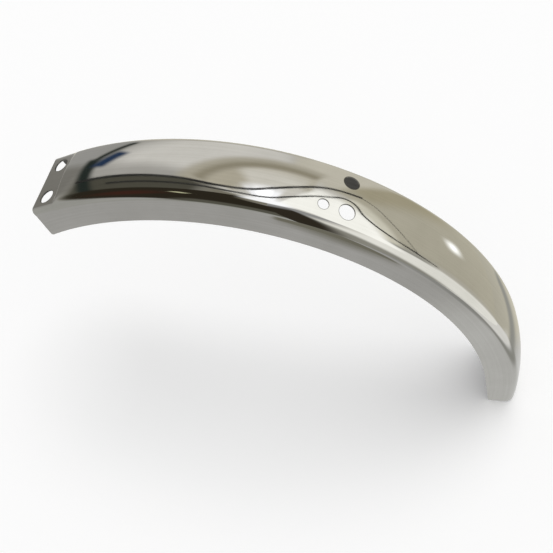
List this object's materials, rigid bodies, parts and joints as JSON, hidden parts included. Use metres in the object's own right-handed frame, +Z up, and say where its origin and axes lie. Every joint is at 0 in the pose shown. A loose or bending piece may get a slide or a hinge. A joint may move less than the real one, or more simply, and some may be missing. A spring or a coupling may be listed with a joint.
{
  "type": "moped rear mudguard",
  "caption": "Arched channel of bright polished sheet metal that covers the rear wheel, with a stepped flat front flange for bolts and holes in the crown for a lamp and its wire.",
  "frame": {"origin": "middle of the two bolt holes, on the upper face of the front flange", "axes": "+X to the rear of the machine, +Y across it, +Z up, as the guard sits over the wheel"},
  "size_m": [0.4666, 0.0682, 0.2715],
  "materials": {
    "polished_sheet": "mirror-polished outside, with fine polishing lines; duller satin inside"
  },
  "bodies": {
    "root": {"mudguard": "polished_sheet"}
  },
  "joints": []
}
